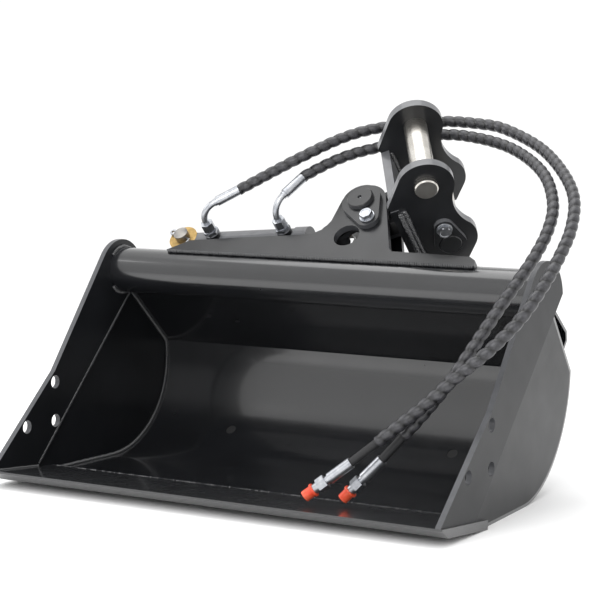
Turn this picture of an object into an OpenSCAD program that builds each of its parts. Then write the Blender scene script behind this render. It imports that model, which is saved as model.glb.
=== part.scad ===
// Tilting grading bucket for a mini excavator, in millimetres.
// The shell lies on its floor with the cutting edge at the front (-Y), +X to
// the right, +Z up. The origin is on the ground, below the middle of the box
// around everything except the hoses.

/* [Bucket] */
// Overall width over the side strips
bucket_width = 800; // [700:10:1000]
// Height of the top tube's centre above the cutting edge
tube_height = 291; // [280:1:350]
// Distance of the top tube's centre behind the cutting edge
tube_back = 350; // [335:1:365]
// Outside radius of the top tube
tube_radius = 38; // [34:1:42]
// Wall of the top tube
tube_wall = 6; // [4:0.5:10]
// Thickness of the rolled back sheet
back_sheet_t = 5; // [4:0.5:8]
// Outside radius of the rolled bottom
roll_radius = 172; // [165:1:180]
// How far the flat upper back cuts into the roll
flat_cut = 36.784; // [30:0.001:44]
// Thickness of the side sheets
side_sheet_t = 5; // [4:0.5:8]
// Angle by which each side sheet leans inward behind its weld line
side_taper = 4.5; // [0:0.5:6]
// Diameter of the drain holes
drain_d = 18; // [12:1:25]

/* [Side strips] */
// Thickness of the side strips
strip_t = 9; // [8:0.5:14]
// Diameter of the bolt holes
strip_hole_d = 21.5; // [17:0.5:26]
// Upright distance between the two rear holes
strip_hole_up = 64; // [56:1:66]
// Level distance between the two lower holes
strip_hole_along = 74; // [60:1:76]

/* [Cutting edge] */
// Depth of the blade from front to back
blade_depth = 145; // [120:1:160]
// Thickness of the blade
blade_t = 14; // [12:1:20]
// Slope of the blade, down toward the back
blade_slope = 5.5; // [3:0.5:8]
// How far the blade stands out past each side strip
blade_overhang = 4; // [0:1:8]

/* [Tilt frame] */
// Lean of the tilt frame: angle between its plates' upright edge and the level
frame_lean = 43.4; // [40:0.2:46]
// Height of the tilt pivot above the tube's centre, along the plates
pivot_height = 138; // [132:1:150]
// Distance of the tilt pivot to the right of the middle
pivot_right = 39; // [20:1:60]
// Diameter of the pivot pin
pivot_pin_d = 44; // [36:1:50]
// Thickness of the two tilt plates
tilt_plate_t = 12; // [10:1:16]
// Clear gap between the two tilt plates
plate_gap = 64; // [62:1:72]

/* [Tilting head] */
// Turn of the head from the middle of its travel, cylinder fully drawn in
head_turn = 62; // [50:1:65]
// Clear gap between the two ears
ear_gap = 134; // [120:1:150]
// Thickness of each ear
ear_t = 14; // [10:1:18]
// Diameter of the stick pin and of the link pin
ear_pin_d = 38; // [30:1:42]
// Distance between the stick pin and the link pin
ear_pin_spacing = 126; // [115:1:135]
// Distance of the two ear pins from the tilt pivot's axis
ear_pin_reach = 119; // [115:1:130]
// Thickness of the head's base plate
base_plate_t = 14; // [10:1:18]

/* [Tilt cylinder] */
// Outside diameter of the barrel
barrel_d = 44; // [36:1:56]
// Diameter of the piston rod
rod_d = 22; // [18:1:25]
// Diameter of the pin in the barrel's eye
barrel_pin_d = 25; // [20:1:30]
// Diameter of the pin in the rod's eye
rod_pin_d = 20; // [16:1:21]
// Radius of the crank that the rod turns
crank_radius = 62; // [60:1:66]

/* [Hoses] */
// Outside diameter of the spiral guard
guard_d = 19; // [16:0.5:22]
// Outside diameter of the bare hose
hose_d = 13; // [10:0.5:14]

/* [Hidden] */

$fn = 64;
far = 1500;
run_fit = 0.05;    // radial clearance of a pin that turns
slip_fit = 0.1;    // radial clearance of a pin that is held
face_gap = 0.3;    // gap between faces that slide past each other
seat = 0.1;        // how far an outline's straight runs reach into its round ends

// ---- Cutting edge and ground ----
// The edge frame has its origin at the blade's top front line. The blade's rear
// bottom line and the shell's floor both rest on the ground.
blade_land = 3;
blade_bevel = 20;
edge_lift = blade_depth * sin(blade_slope) + blade_t * cos(blade_slope);
blade_rear = blade_depth * cos(blade_slope) - blade_t * sin(blade_slope);

// ---- Side profile, as [back, up] in the edge frame ----
function blade_top(back) = -back * tan(blade_slope);
roll_up = roll_radius - edge_lift;
tube_centre = [tube_back, tube_height];
lobe_radius = tube_radius + 22;
lobe_centre = tube_centre + [-2, -8];
strip_front = [2, blade_top(2)];
strip_bend = [160, 139];
weld_low = [112, blade_top(112)];
weld_high = tube_centre + [32, -29];
weld_angle = atan2(weld_high[1] - weld_low[1], weld_high[0] - weld_low[0]);
strip_step = 1.5;

// The flat upper back lies along the tilt frame's lean, and the roll's centre is placed from it.
flat_offset = 2;
roll_back = tube_back
    + ((tube_height - roll_up) * sin(frame_lean) - flat_offset - roll_radius + flat_cut) / cos(frame_lean);

// ---- Bolt holes in the side strips ----
hole_corner = [161, 57];

// ---- Tilt frame: x to the right, y up the plates, z out to the front ----
plate_mid = -4;
front_plate_z = plate_mid + plate_gap / 2;
rear_plate_z = plate_mid - plate_gap / 2 - tilt_plate_t;
pivot_at = [
    pivot_right,
    tube_back + pivot_height * cos(frame_lean),
    tube_height + pivot_height * sin(frame_lean)
];
lug_radius = 40;
access_hole_r = 22;

// ---- Head: x along the ear pins, y from the pivot to the ears, z as the tilt frame ----
base_plate_y = 50;
ear_y = base_plate_y + base_plate_t;
ear_out = ear_gap / 2 + ear_t;
stick_pin_z = 100;
link_pin_z = stick_pin_z - ear_pin_spacing;
ear_lobe_r = ear_pin_d / 2 + 26;
link_lobe = [ear_pin_reach + 1, link_pin_z + 6];
ear_foot = [ear_pin_reach + 14, link_pin_z - 50];
base_plate_low = ear_foot[1] - 2;
base_plate_high = 72;
ear_pin_proud = 9;
retainer_t = 8;

// ---- Cylinder: x along the rod, z as the tilt frame ----
crank_rest = -46;          // crank's angle from straight down, at rest
barrel_eye = [-328, -74];  // barrel eye, from the tilt pivot
rod_eye_at = crank_radius * [sin(crank_rest), -cos(crank_rest)];
cylinder_run = rod_eye_at - barrel_eye;
closed_length = norm(cylinder_run);
cylinder_angle = atan2(cylinder_run[1], cylinder_run[0]);
barrel_wall = 5;
bore_r = barrel_d / 2 - barrel_wall;
barrel_to = 210;
gland_to = 234;
piston_from = 38;
piston_l = 22;
barrel_eye_w = 34;
barrel_washer_r = barrel_pin_d / 2 + 12.5;
rod_eye_w = 22;
neck_l = 10;
rod_eye_r = 17.5;
crank_t = 8;
crank_gap = rod_eye_w + 4;
washer_t = 3;
// The crank's slot takes up what a straight coupled stroke leaves of the linkage's curve.
// It runs along the crank, counted from the rod pin's place at rest.
slot_in = -12.8;
slot_out = 5.2;
slot_play = 3.8;
crank_wall = 7;
hub_r = pivot_pin_d / 2 + 7.5;
hub_waist_r = pivot_pin_d / 2 + 4.5;
bush_t = 3;
bush_l = 17;
cotter_r = 1.6;

// ---- Ports and hose ends ----
port_x = [60, 195];
port_z = 24;              // the port boss's face, in front of the cylinder's axis
adapter_l = 9;
nut_l = 15;
elbow_r = 28;
elbow_tube_d = 11;
ferrule_l = 46;
ferrule_d = 17;
// Direction in which each hose leaves its elbow, in the tilt frame's x, y
leave_angle = [42, 66];

// ---- Route of each hose in the part's frame, from its ferrule to its free end ----
// The last two points are the free end's ferrule and the tip of its cap.
route_a = [
    [-70, 110, 515], [-12, 168, 550], [45, 215, 566], [118, 250, 573], [182, 255, 570],
    [235, 245, 562], [317, 200, 535], [385, 135, 500], [430, 75, 464], [450, 20, 424],
    [455, -30, 388], [451, -80, 347], [433, -120, 301], [400, -150, 258], [360, -172, 220],
    [312, -190, 173]
];
free_a = [[214, -220, 89], [144, -248, 31]];
guard_end_a = 16.6;
route_b = [
    [-16, 158, 515], [42, 205, 534], [118, 240, 551], [192, 235, 547], [274, 200, 530],
    [352, 135, 498], [398, 70, 458], [413, 20, 420], [410, -30, 377], [393, -85, 324],
    [368, -130, 262], [327, -160, 190]
];
free_b = [[249, -190, 92], [188, -205, 26.5]];
guard_end_b = 12.6;
end_ferrule_l = 46;
end_nut_l = 22;
end_cap_l = 18;

// The box around everything but the hoses runs from the blade to the rear ear's foot.
ear_foot_back = pivot_at[1]
    + (ear_foot[0] * cos(head_turn) + ear_out * sin(head_turn)) * cos(frame_lean)
    - ear_foot[1] * sin(frame_lean);
blade_front = -blade_land * sin(blade_slope);
middle_back = (ear_foot_back + blade_front) / 2;

black_paint = [0.11, 0.11, 0.12];
bare_steel = [0.62, 0.62, 0.63];
zinc = [0.78, 0.79, 0.8];
yellow_zinc = [0.8, 0.65, 0.3];
bronze = [0.66, 0.5, 0.28];
hose_black = [0.2, 0.2, 0.21];
cap_orange = [0.85, 0.28, 0.17];

// ---- Frames ----
module in_part() {
    translate([0, -middle_back, edge_lift]) children();
}

module in_tilt() {
    in_part() translate(pivot_at) rotate([frame_lean, 0, 0]) children();
}

module in_head() {
    in_tilt() rotate([0, 0, -head_turn]) children();
}

module in_cylinder() {
    in_tilt() translate([barrel_eye[0], barrel_eye[1], plate_mid]) rotate([0, 0, cylinder_angle]) children();
}

// Stands a [back, up] outline across the bucket, from x = from_x to to_x.
module across(from_x, to_x) {
    translate([from_x, 0, 0]) rotate([90, 0, 90]) linear_extrude(to_x - from_x) children();
}

// Stands a [y, z] outline along the ear pins, from x = from_x to to_x.
module along_pins(from_x, to_x) {
    translate([from_x, 0, 0]) rotate([90, 0, 90]) linear_extrude(to_x - from_x) children();
}

module rod_between(z0, z1, r) {
    translate([0, 0, z0]) cylinder(h = z1 - z0, r = r);
}

module ring_between(z0, z1, r, r_in) {
    difference() {
        rod_between(z0, z1, r);
        rod_between(z0 - 1, z1 + 1, r_in);
    }
}

// ---- Side profile ----
module tube_disc(r = tube_radius) {
    translate(tube_centre) circle(r);
}

// Everything inside the shell's surface, moved inward by inset.
module shell_region(inset) {
    intersection() {
        union() {
            translate([roll_back, roll_up]) circle(roll_radius - inset);
            translate([-far, -edge_lift + inset]) square([far + roll_back, far]);
        }
        translate(tube_centre) rotate(frame_lean)
            translate([-far - flat_offset - inset, -far]) square([far, 2 * far]);
    }
}

module behind_weld_line() {
    translate(weld_low) rotate(weld_angle) translate([-far, -far]) square([2 * far, far]);
}

module strip_outline() {
    reach = lobe_centre - strip_bend;
    touch_angle = atan2(reach[1], reach[0]) + 180 - acos(lobe_radius / norm(reach));
    touch = lobe_centre + lobe_radius * [cos(touch_angle), sin(touch_angle)];
    difference() {
        union() {
            translate(lobe_centre) circle(lobe_radius);
            polygon([strip_front, weld_low, weld_high, lobe_centre, touch, strip_bend]);
        }
        behind_weld_line();
    }
}

// Half space outside the leaning side sheet on the right, moved inward by inset.
module outside_taper(inset) {
    translate([bucket_width / 2 - strip_step, weld_low[0], weld_low[1]]) rotate([weld_angle, 0, 0])
        rotate([0, side_taper, 0]) translate([-inset, -far, -far]) cube([far, 2 * far, 2 * far]);
}

module blade_solid() {
    rotate([-blade_slope, 0, 0]) across(-bucket_width / 2 - blade_overhang, bucket_width / 2 + blade_overhang)
        polygon([
            [0, 0], [blade_depth, 0], [blade_depth, -blade_t], [blade_bevel, -blade_t], [0, -blade_land]
        ]);
}

module cutting_edge() {
    color(black_paint) in_part() blade_solid();
}

module side_strip(side) {
    color(black_paint) in_part() scale([side, 1, 1]) difference() {
        across(bucket_width / 2 - strip_t, bucket_width / 2) strip_outline();
        for (at = [hole_corner, hole_corner + [0, strip_hole_up], hole_corner - [strip_hole_along, 0]])
            translate([bucket_width / 2 - strip_t - 1, at[0], at[1]]) rotate([0, 90, 0])
                cylinder(h = strip_t + 2, d = strip_hole_d);
    }
}

module side_sheet(side) {
    color(black_paint) in_part() scale([side, 1, 1]) difference() {
        intersection() {
            across(0, bucket_width / 2) intersection() {
                shell_region(back_sheet_t);
                behind_weld_line();
            }
            outside_taper(side_sheet_t);
        }
        outside_taper(0);
        blade_solid();
    }
}

module back_sheet() {
    color(black_paint) in_part() difference() {
        across(-bucket_width / 2, bucket_width / 2) difference() {
            shell_region(0);
            shell_region(back_sheet_t);
            tube_disc();
            translate([-far, -far]) square([far + blade_rear, 2 * far]);
            translate(tube_centre) rotate(frame_lean) translate([-far, -tube_radius / 2]) square([2 * far, far]);
        }
        outside_taper(0);
        mirror([1, 0, 0]) outside_taper(0);
        for (side = [-1, 1]) scale([side, 1, 1])
            across(bucket_width / 2 - strip_t, bucket_width / 2) strip_outline();
        blade_solid();
        at_drains() rod_between(-5, 25, drain_d / 2);
    }
}

// Stands children at each drain hole, from z = 0 on the sheet's outside inward.
module at_drains() {
    for (side = [-1, 1]) translate([side * bucket_width * 0.264, roll_back, roll_up]) rotate([42, 0, 0])
        translate([0, 0, -roll_radius]) children();
}

module drain_plugs() {
    color(hose_black) in_part() at_drains() rod_between(0.5, back_sheet_t - 1, drain_d / 2);
}

module top_tube() {
    half = bucket_width / 2 - strip_t;
    color(black_paint) in_part() across(-half, half) difference() {
        tube_disc();
        tube_disc(tube_radius - tube_wall);
    }
}

// A bent plate's section: straight runs between points, with round bends.
module bent_section(points, t) {
    for (i = [0 : len(points) - 2]) {
        run = points[i + 1] - points[i];
        translate(points[i]) rotate(atan2(run[1], run[0])) translate([0, -t / 2]) square([norm(run), t]);
        if (i > 0) translate(points[i]) circle(t / 2);
    }
}

stiffener_t = 5;
stiffener_inboard = 22;
// From the tube over the flat back, round the nose and down to the roll; x up the plates, y to the front
stiffener_path = [[26, -22], [41, -136], [33, -147], [-40, -154]];

module stiffener_solid() {
    half = bucket_width / 2 - stiffener_inboard;
    across(-half, half) difference() {
        translate(tube_centre) rotate(frame_lean) bent_section(stiffener_path, stiffener_t);
        tube_disc();
        shell_region(0);
    }
}

module back_stiffener() {
    color(black_paint) in_part() stiffener_solid();
}

// ---- Tilt frame ----
// A tilt plate's blank, from z = 0: its arms and its lug round the pivot.
module lug_blank(left, right) {
    union() {
        cylinder(h = tilt_plate_t, r = lug_radius);
        linear_extrude(tilt_plate_t) polygon(concat(
            [[0, 0], (lug_radius - seat) * [cos(25), sin(25)]], right, left, [[seat - lug_radius, 0]]
        ));
    }
}

module through_plate(at, r) {
    translate(at) rod_between(-1, tilt_plate_t + 1, r);
}

module tilt_plate_front() {
    low = tube_radius * 0.42 - pivot_height;
    color(black_paint) in_tilt() difference() {
        translate([0, 0, front_plate_z]) difference() {
            lug_blank(
                [[-327, low], [-290, -99], [-224, -91], [-156, -83], [-100, -77], [-64, -71], [-48, -60], [-41, -42]],
                [[80, -80], [87, -96], [94, -101], [160, -102], [232, -104], [243, -111], [245, low]]
            );
            through_plate([0, 0], pivot_pin_d / 2 + slip_fit);
            through_plate([0, -72], access_hole_r);
            through_plate(retainer_bolt_at, bolt_d / 2);
        }
        translate([0, -pivot_height, 0]) rotate([0, 90, 0]) cylinder(h = 2 * far, r = tube_radius, center = true);
    }
}

module tilt_plate_rear() {
    low = 30 - pivot_height;
    color(black_paint) difference() {
        in_tilt() translate([0, 0, rear_plate_z]) difference() {
            union() {
                lug_blank(
                    [[-372, low], [-300, -80], [-224, -84], [-156, -80], [-100, -76], [-64, -66], [-46, -50], [-41, -36]],
                    [[80, -80], [90, -92], [150, -96], [160, low]]
                );
                translate(barrel_eye) cylinder(h = tilt_plate_t, r = barrel_pin_d / 2 + 17);
            }
            through_plate([0, 0], pivot_pin_d / 2 + slip_fit);
            through_plate(barrel_eye, barrel_pin_d / 2);
        }
        in_part() stiffener_solid();
        in_part() translate([0, tube_back, tube_height]) rotate([0, 90, 0])
            cylinder(h = 2 * far, r = tube_radius, center = true);
    }
}

retainer_bolt_at = [27, -37];
bolt_d = 12;

// A flag plate round a pin and its bolt, from z = 0 to retainer_t.
module flag_plate(bolt_at, pin_r, bolt_r) {
    reach = norm(bolt_at);
    lean = acos((pin_r - bolt_r) / reach);
    turn = atan2(bolt_at[1], bolt_at[0]);
    union() {
        cylinder(h = retainer_t, r = pin_r);
        translate(bolt_at) cylinder(h = retainer_t, r = bolt_r);
        linear_extrude(retainer_t) polygon([
            (pin_r - seat) * [cos(turn + lean), sin(turn + lean)],
            bolt_at + (bolt_r - seat) * [cos(turn + lean), sin(turn + lean)],
            bolt_at + (bolt_r - seat) * [cos(turn - lean), sin(turn - lean)],
            (pin_r - seat) * [cos(turn - lean), sin(turn - lean)]
        ]);
    }
}

// A hexagon bolt and washer on a face at z = 0, with its shank below.
module hex_bolt(d, across_flats, head_h, shank) {
    cylinder(h = 2.5, d = d * 2.1);
    translate([0, 0, 2.4]) cylinder(h = head_h, d = across_flats / cos(30), $fn = 6);
    translate([0, 0, -shank]) cylinder(h = shank + 1, d = d);
}

module pivot_pin() {
    z0 = rear_plate_z - 6;
    z1 = front_plate_z + tilt_plate_t + retainer_t + 7;
    color(bare_steel) in_tilt() difference() {
        union() {
            rod_between(z0, z1 - 1.5, pivot_pin_d / 2);
            translate([0, 0, z1 - 1.5]) cylinder(h = 1.5, r1 = pivot_pin_d / 2, r2 = pivot_pin_d / 2 - 1.5);
        }
        rod_between(z1 - 12, z1 + 1, 3.5);
    }
}

module pivot_pin_retainer() {
    color(black_paint) in_tilt() translate([0, 0, front_plate_z + tilt_plate_t]) difference() {
        flag_plate(retainer_bolt_at, pivot_pin_d / 2 + 11, 19);
        rod_between(-1, retainer_t + 1, pivot_pin_d / 2 + slip_fit);
        translate(retainer_bolt_at) rod_between(-1, retainer_t + 1, bolt_d / 2 + 0.5);
    }
}

module pivot_retainer_bolt() {
    color(zinc) in_tilt() translate([retainer_bolt_at[0], retainer_bolt_at[1], front_plate_z + tilt_plate_t + retainer_t])
        hex_bolt(bolt_d, 19, 8, retainer_t + tilt_plate_t);
}

module pivot_grease_nipple() {
    z1 = front_plate_z + tilt_plate_t + retainer_t + 7;
    color(zinc) in_tilt() {
        rod_between(z1 - 12, z1 - 6, 3);
        translate([0, 0, z1 - 4.5]) sphere(r = 2.2, $fn = 24);
    }
}

module barrel_pin() {
    color(bare_steel) in_tilt() translate([barrel_eye[0], barrel_eye[1], 0]) difference() {
        union() {
            rod_between(rear_plate_z - 4, plate_mid + 33, barrel_pin_d / 2);
            rod_between(rear_plate_z + tilt_plate_t, plate_mid - barrel_eye_w / 2 - face_gap, barrel_pin_d / 2 + 9);
        }
        translate([0, 0, plate_mid + barrel_eye_w / 2 + 7]) rotate([90, 0, 70])
            cylinder(h = 60, r = 2.1, center = true);
    }
}

module barrel_pin_washer() {
    z0 = plate_mid + barrel_eye_w / 2 + face_gap;
    color(yellow_zinc) in_tilt() translate([barrel_eye[0], barrel_eye[1], 0])
        ring_between(z0, z0 + 3.5, barrel_washer_r, barrel_pin_d / 2 + slip_fit);
}

// A cotter: a straight wire through the pin, with its eye at one end and a bent leg at the other.
module cotter(pin_r, wire_r) {
    reach = pin_r + 7;
    eye_r = 6;
    difference() {
        union() {
            rotate([90, 0, 0]) cylinder(h = 2 * reach, r = wire_r, center = true, $fn = 24);
            translate([0, -reach - eye_r + 2, 0]) rod_between(-1.5, 1.5, eye_r);
            translate([0, reach - 2, 0]) rotate([0, 90, 0]) cylinder(h = 10, r = wire_r * 0.8, $fn = 24);
        }
        translate([0, -reach - eye_r + 2, 0]) rod_between(-3, 3, eye_r - 3);
    }
}

module barrel_pin_cotter() {
    color(zinc) in_tilt() translate([barrel_eye[0], barrel_eye[1], plate_mid + barrel_eye_w / 2 + 7])
        rotate([0, 0, 250]) cotter(barrel_pin_d / 2, 1.9);
}

// ---- Head ----
hub_z0 = plate_mid - plate_gap / 2 + 1;
hub_z1 = plate_mid + plate_gap / 2 - 1;

module head_hub() {
    bush_r = pivot_pin_d / 2 + run_fit + bush_t;
    color(black_paint) in_head() difference() {
        union() {
            rod_between(hub_z0, plate_mid - crank_gap / 2, hub_r);
            rod_between(plate_mid - crank_gap / 2 - 1, plate_mid + crank_gap / 2 + 1, hub_waist_r);
            rod_between(plate_mid + crank_gap / 2, hub_z1, hub_r);
        }
        rod_between(hub_z0 - 1, hub_z1 + 1, pivot_pin_d / 2 + face_gap);
        rod_between(hub_z0 - 1, hub_z0 + bush_l, bush_r);
        rod_between(hub_z1 - bush_l, hub_z1 + 1, bush_r);
    }
}

module hub_bushes() {
    r = pivot_pin_d / 2 + run_fit;
    color(bronze) in_head() {
        ring_between(hub_z0, hub_z0 + bush_l, r + bush_t, r);
        ring_between(hub_z1 - bush_l, hub_z1, r + bush_t, r);
    }
}

// The crank runs down from the hub in the head's own frame.
crank_dir = crank_rest - 90 + head_turn;

// A straight slot or lobe along x, with round ends.
module stadium(from, to, r) {
    translate([from, 0]) circle(r);
    translate([from, -r]) square([to - from, 2 * r]);
    translate([to, 0]) circle(r);
}

module crank_outline() {
    slot_r = rod_pin_d / 2 + slot_play;
    slot_end = crank_radius + slot_out;
    difference() {
        union() {
            circle(hub_r + 8);
            translate([-hub_r - 4, 0]) square([2 * hub_r + 8, base_plate_y]);
            rotate(crank_dir) stadium(0, slot_end, slot_r + crank_wall);
        }
        circle(hub_r);
        rotate(crank_dir) stadium(crank_radius + slot_in, slot_end, slot_r);
    }
}

module crank_plates() {
    color(black_paint) in_head() for (z = [crank_gap / 2, -crank_gap / 2 - crank_t])
        translate([0, 0, plate_mid + z]) linear_extrude(crank_t) crank_outline();
}

module head_base_plate() {
    half = ear_out + 2;
    color(black_paint) in_head() translate([-half, base_plate_y, base_plate_low])
        cube([2 * half, base_plate_t, base_plate_high - base_plate_low]);
}

// One ear's outline, as [away from the pivot, along the tilt axis].
module ear_outline() {
    stick = [ear_pin_reach, stick_pin_z];
    neck = ear_pin_reach + 28;
    half = (stick[1] - link_lobe[1]) / 2;
    neck_z = stick[1] - half;
    gap = neck - ear_pin_reach;
    // radius of the neck's hollow, which meets both lobes smoothly
    hollow = (gap * gap + half * half - ear_lobe_r * ear_lobe_r) / (2 * (ear_lobe_r - gap));
    share = ear_lobe_r / (ear_lobe_r + hollow);
    waist = ear_pin_reach + share * (gap + hollow);
    foot_reach = ear_foot - link_lobe;
    foot_angle = atan2(foot_reach[1], foot_reach[0]) + acos(ear_lobe_r / norm(foot_reach));
    heel = [ear_y - 16, base_plate_high + 8];
    heel_reach = heel - stick;
    heel_angle = atan2(heel_reach[1], heel_reach[0]) - acos(ear_lobe_r / norm(heel_reach));
    difference() {
        union() {
            translate(stick) circle(ear_lobe_r);
            translate(link_lobe) circle(ear_lobe_r);
            polygon([
                [ear_y, ear_foot[1]], ear_foot,
                link_lobe + ear_lobe_r * [cos(foot_angle), sin(foot_angle)], link_lobe,
                [waist, neck_z - half * (1 - share)], [waist, neck_z + half * (1 - share)],
                stick, stick + ear_lobe_r * [cos(heel_angle), sin(heel_angle)],
                heel, [ear_y - 14, base_plate_high], [ear_y, base_plate_high]
            ]);
        }
        translate([neck + hollow, neck_z]) circle(hollow);
    }
}

module ear(side) {
    inner = ear_gap / 2;
    color(black_paint) in_head() scale([side, 1, 1]) difference() {
        along_pins(inner, inner + ear_t) ear_outline();
        for (z = [stick_pin_z, link_pin_z]) translate([inner - 1, ear_pin_reach, z]) rotate([0, 90, 0])
            cylinder(h = ear_t + 2, r = ear_pin_d / 2 + slip_fit);
        translate([inner - 1, ear_pin_reach, side > 0 ? link_pin_z + 36 : stick_pin_z - 36]) rotate([0, 90, 0])
            cylinder(h = ear_t + 2, r = bolt_d / 2);
    }
}

module ear_pin(x0, x1, z) {
    chamfer = 2;
    r = ear_pin_d / 2;
    color(bare_steel) in_head() translate([0, ear_pin_reach, z]) rotate([0, 90, 0]) {
        rod_between(x0 + chamfer, x1 - chamfer, r);
        translate([0, 0, x0]) cylinder(h = chamfer, r1 = r - chamfer, r2 = r);
        translate([0, 0, x1 - chamfer]) cylinder(h = chamfer, r1 = r, r2 = r - chamfer);
    }
}

module stick_pin() {
    ear_pin(-ear_out - retainer_t - 1, ear_out + ear_pin_proud, stick_pin_z);
}

module link_pin() {
    ear_pin(-ear_out - ear_pin_proud, ear_out + retainer_t + 1, link_pin_z);
}

// The flag plate of an ear pin, on the ear's outer face; the bolt is toward the other pin.
module ear_retainer(side, z, toward) {
    color(black_paint) in_head() scale([side, 1, 1]) translate([ear_out, ear_pin_reach, z]) rotate([90, 0, 90])
        difference() {
            flag_plate([0, toward * 36], ear_pin_d / 2 + 7, 16);
            rod_between(-1, retainer_t + 1, ear_pin_d / 2 + slip_fit);
            translate([0, toward * 36, 0]) rod_between(-1, retainer_t + 1, bolt_d / 2 + 0.5);
        }
}

module ear_retainer_bolt(side, z) {
    color(zinc) in_head() scale([side, 1, 1]) translate([ear_out + retainer_t, ear_pin_reach, z])
        rotate([0, 90, 0]) hex_bolt(bolt_d, 19, 8, retainer_t + ear_t);
}

// ---- Cylinder ----
module turn_along_x() {
    rotate([0, 90, 0]) children();
}

module cylinder_barrel() {
    color(black_paint) in_cylinder() difference() {
        union() {
            cylinder(h = barrel_eye_w, r = barrel_d / 2, center = true);
            turn_along_x() rod_between(0, barrel_to, barrel_d / 2);
            for (x = port_x) translate([x, 0, 0]) rod_between(0, port_z + 6, 13);
        }
        cylinder(h = barrel_d + 2, r = barrel_pin_d / 2 + run_fit, center = true);
        for (side = [-1, 1]) scale([1, 1, side]) rod_between(barrel_eye_w / 2, barrel_d, max(barrel_washer_r, barrel_d / 2) + 1);
        turn_along_x() rod_between(piston_from - 6, barrel_to + 1, bore_r);
        for (x = port_x) translate([x, 0, 0]) rod_between(0, port_z + 7, 4);
    }
}

module cylinder_gland() {
    color(black_paint) in_cylinder() turn_along_x() difference() {
        union() {
            rod_between(barrel_to, gland_to, barrel_d / 2 + 2);
            rod_between(barrel_to - 6, barrel_to, bore_r);
        }
        rod_between(barrel_to - 7, gland_to + 1, rod_d / 2 + run_fit);
    }
}

module at_port(i) {
    in_cylinder() translate([port_x[i], 0, port_z + 6]) rotate([0, 0, leave_angle[i] - cylinder_angle]) children();
}

module port_adapters() {
    color(zinc) for (i = [0, 1]) at_port(i) difference() {
        union() {
            cylinder(h = 6, d = 22 / cos(30), $fn = 6);
            rod_between(5, adapter_l, 8);
        }
        rod_between(-1, adapter_l + 1, 4);
    }
}

module swivel_nuts() {
    color(zinc) for (i = [0, 1]) at_port(i) difference() {
        rotate([0, 0, 20]) translate([0, 0, adapter_l]) cylinder(h = nut_l, d = 19 / cos(30), $fn = 6);
        rod_between(adapter_l - 1, adapter_l + nut_l + 1, elbow_tube_d / 2);
    }
}

module hose_elbows() {
    color(zinc) for (i = [0, 1]) at_port(i) difference() {
        union() {
            rod_between(adapter_l, adapter_l + nut_l + 2, elbow_tube_d / 2);
            translate([elbow_r, 0, adapter_l + nut_l + 2]) rotate([90, 0, 180])
                rotate_extrude(angle = 90) translate([elbow_r, 0]) circle(d = elbow_tube_d);
        }
        rod_between(adapter_l - 1, adapter_l + 8, 3);
    }
}

ferrule_from = [elbow_r, 0, adapter_l + nut_l + 2 + elbow_r];

module port_ferrules() {
    color(zinc) for (i = [0, 1]) at_port(i) translate(ferrule_from) turn_along_x() {
        rod_between(0, 5, ferrule_d / 2 - 2);
        rod_between(5, ferrule_l, ferrule_d / 2);
    }
}

module piston_rod() {
    color([0.75, 0.76, 0.78]) in_cylinder() turn_along_x()
        rod_between(piston_from + piston_l, closed_length - rod_eye_r - neck_l, rod_d / 2);
}

module piston() {
    color(bare_steel) in_cylinder() turn_along_x() difference() {
        rod_between(piston_from, piston_from + piston_l, bore_r - face_gap);
        ring_between(piston_from + 6, piston_from + 11, bore_r + 1, bore_r - 4);
    }
}

module piston_seals() {
    color([0.15, 0.15, 0.15]) in_cylinder() turn_along_x()
        ring_between(piston_from + 6, piston_from + 11, bore_r - run_fit, bore_r - 4);
}

module rod_eye() {
    color(black_paint) in_cylinder() difference() {
        union() {
            translate([closed_length, 0, 0]) cylinder(h = rod_eye_w, r = rod_eye_r, center = true);
            turn_along_x() rod_between(closed_length - rod_eye_r - neck_l, closed_length - rod_eye_r + 3, rod_eye_w / 2);
        }
        translate([closed_length, 0, 0]) cylinder(h = rod_eye_w + 2, r = rod_pin_d / 2 + slip_fit, center = true);
    }
}

rod_pin_half = plate_gap / 2 - 2;
rod_washer_z = crank_gap / 2 + crank_t + face_gap;
rod_cotter_z = rod_washer_z + washer_t + cotter_r + 0.2;
rod_washer_r = rod_pin_d / 2 + 5;

module at_rod_pin() {
    in_cylinder() translate([closed_length, 0, 0]) children();
}

module rod_cotter_wires(l) {
    for (side = [-1, 1]) translate([0, 0, side * rod_cotter_z]) rotate([90, 0, 30])
        cylinder(h = l, r = cotter_r, center = true, $fn = 24);
}

module rod_pin() {
    color(bare_steel) at_rod_pin() difference() {
        rod_between(-rod_pin_half, rod_pin_half, rod_pin_d / 2);
        rod_cotter_wires(2 * rod_pin_d);
    }
}

module rod_pin_washers() {
    color(yellow_zinc) at_rod_pin() {
        ring_between(rod_washer_z, rod_washer_z + washer_t, rod_washer_r, rod_pin_d / 2);
        ring_between(-rod_washer_z - washer_t, -rod_washer_z, rod_washer_r, rod_pin_d / 2);
    }
}

module rod_pin_cotters() {
    color(zinc) at_rod_pin() rod_cotter_wires(rod_pin_d + 9);
}

// ---- Hoses ----
function unit(v) = v / norm(v);
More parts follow.
